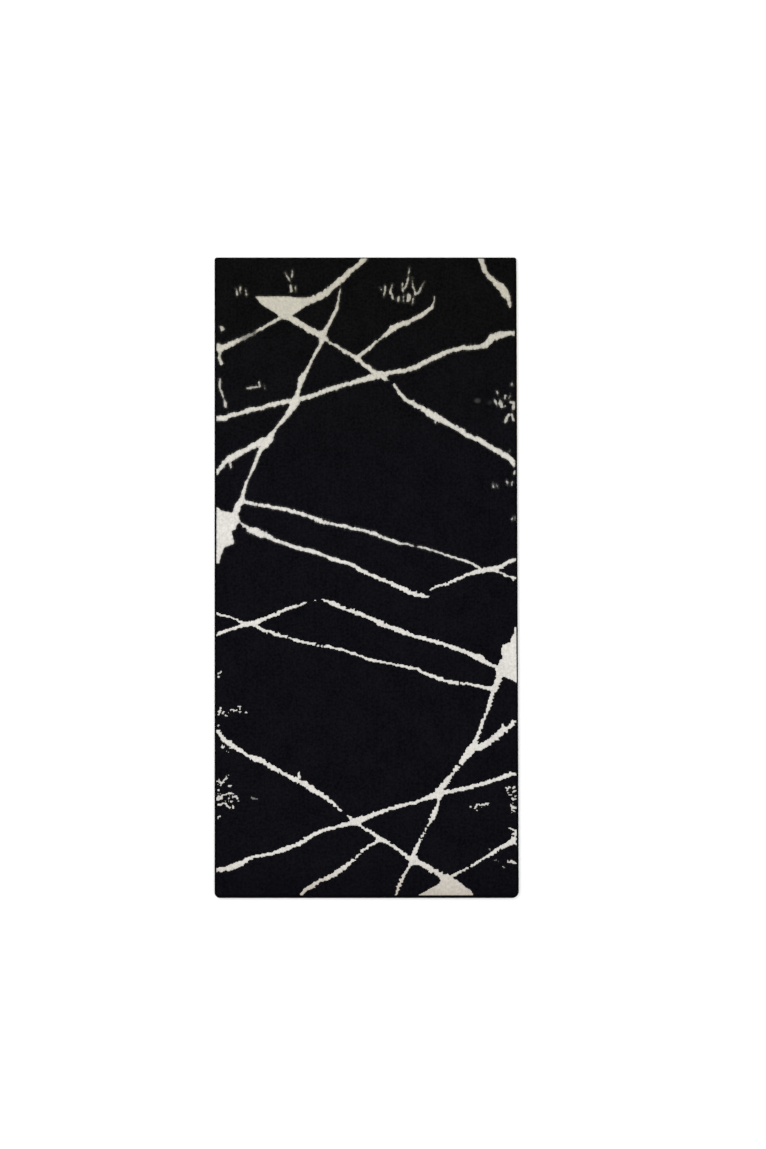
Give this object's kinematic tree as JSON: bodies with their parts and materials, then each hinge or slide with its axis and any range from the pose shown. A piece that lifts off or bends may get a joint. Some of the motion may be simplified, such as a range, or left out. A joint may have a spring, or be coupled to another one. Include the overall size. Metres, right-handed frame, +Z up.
{
  "type": "runner rug",
  "caption": "Long narrow cut-pile runner rug that lies flat on a floor, black with branching cream veins like marble, with a serged black edge.",
  "frame": {"origin": "middle of the underside, on the floor", "axes": "+Y along the rug's length towards its head end, +X across it, +Z up out of the pile"},
  "size_m": [0.8029, 1.69, 0.0085],
  "materials": {
    "black_pile": "dense short cut pile, near black",
    "cream_pile": "dense short cut pile, cream with a fine mottle",
    "edge_yarn": "overlocked yarn wrapped round the edge, black",
    "backing": "plain woven backing cloth, pale beige",
    "latex": "dry latex film",
    "ground_cloth": "woven ground cloth",
    "cord": "twisted filler cord"
  },
  "bodies": {
    "root": {"backing_cloth": "backing", "corner_wrap_foot_left": "edge_yarn", "corner_wrap_foot_right": "edge_yarn", "corner_wrap_head_left": "edge_yarn", "corner_wrap_head_right": "edge_yarn", "dark_centre_lower": "black_pile", "dark_centre_upper": "black_pile", "dark_foot_left": "black_pile", "dark_foot_right": "black_pile", "dark_foot_triangles": "black_pile", "dark_head_left": "black_pile", "dark_head_middle": "black_pile", "dark_head_triangles": "black_pile", "dark_left_lower": "black_pile", "dark_left_nooks": "black_pile", "dark_left_upper": "black_pile", "dark_middle": "black_pile", "dark_middle_lower": "black_pile", "dark_middle_upper": "black_pile", "dark_right_lower": "black_pile", "dark_right_nooks": "black_pile", "dark_right_upper": "black_pile", "edge_cord_foot": "cord", "edge_cord_head": "cord", "edge_cord_left": "cord", "edge_cord_right": "cord", "flecks_head": "cream_pile", "flecks_left": "cream_pile", "flecks_right": "cream_pile", "ground_cloth": "ground_cloth", "latex_coat": "latex", "patch_foot_wedge": "cream_pile", "patch_head_wedge": "cream_pile", "patch_left": "cream_pile", "patch_right": "cream_pile", "serging_foot": "edge_yarn", "serging_head": "edge_yarn", "serging_left": "edge_yarn", "serging_right": "edge_yarn", "vein_branch_lower": "cream_pile", "vein_branch_upper": "cream_pile", "vein_crossing_left": "cream_pile", "vein_diagonal_left": "cream_pile", "vein_diagonal_lower": "cream_pile", "vein_diagonal_right": "cream_pile", "vein_diagonal_upper": "cream_pile", "vein_foot_right": "cream_pile", "vein_head_corner": "cream_pile", "vein_head_upper": "cream_pile", "vein_left_upper": "cream_pile", "vein_long_lower": "cream_pile", "vein_long_upper": "cream_pile", "vein_middle_foot": "cream_pile", "vein_middle_left": "cream_pile", "vein_middle_lower": "cream_pile", "vein_middle_right": "cream_pile", "vein_middle_upper": "cream_pile", "vein_right_lower": "cream_pile", "vein_steep_lower": "cream_pile", "vein_steep_upper": "cream_pile"}
  },
  "joints": []
}
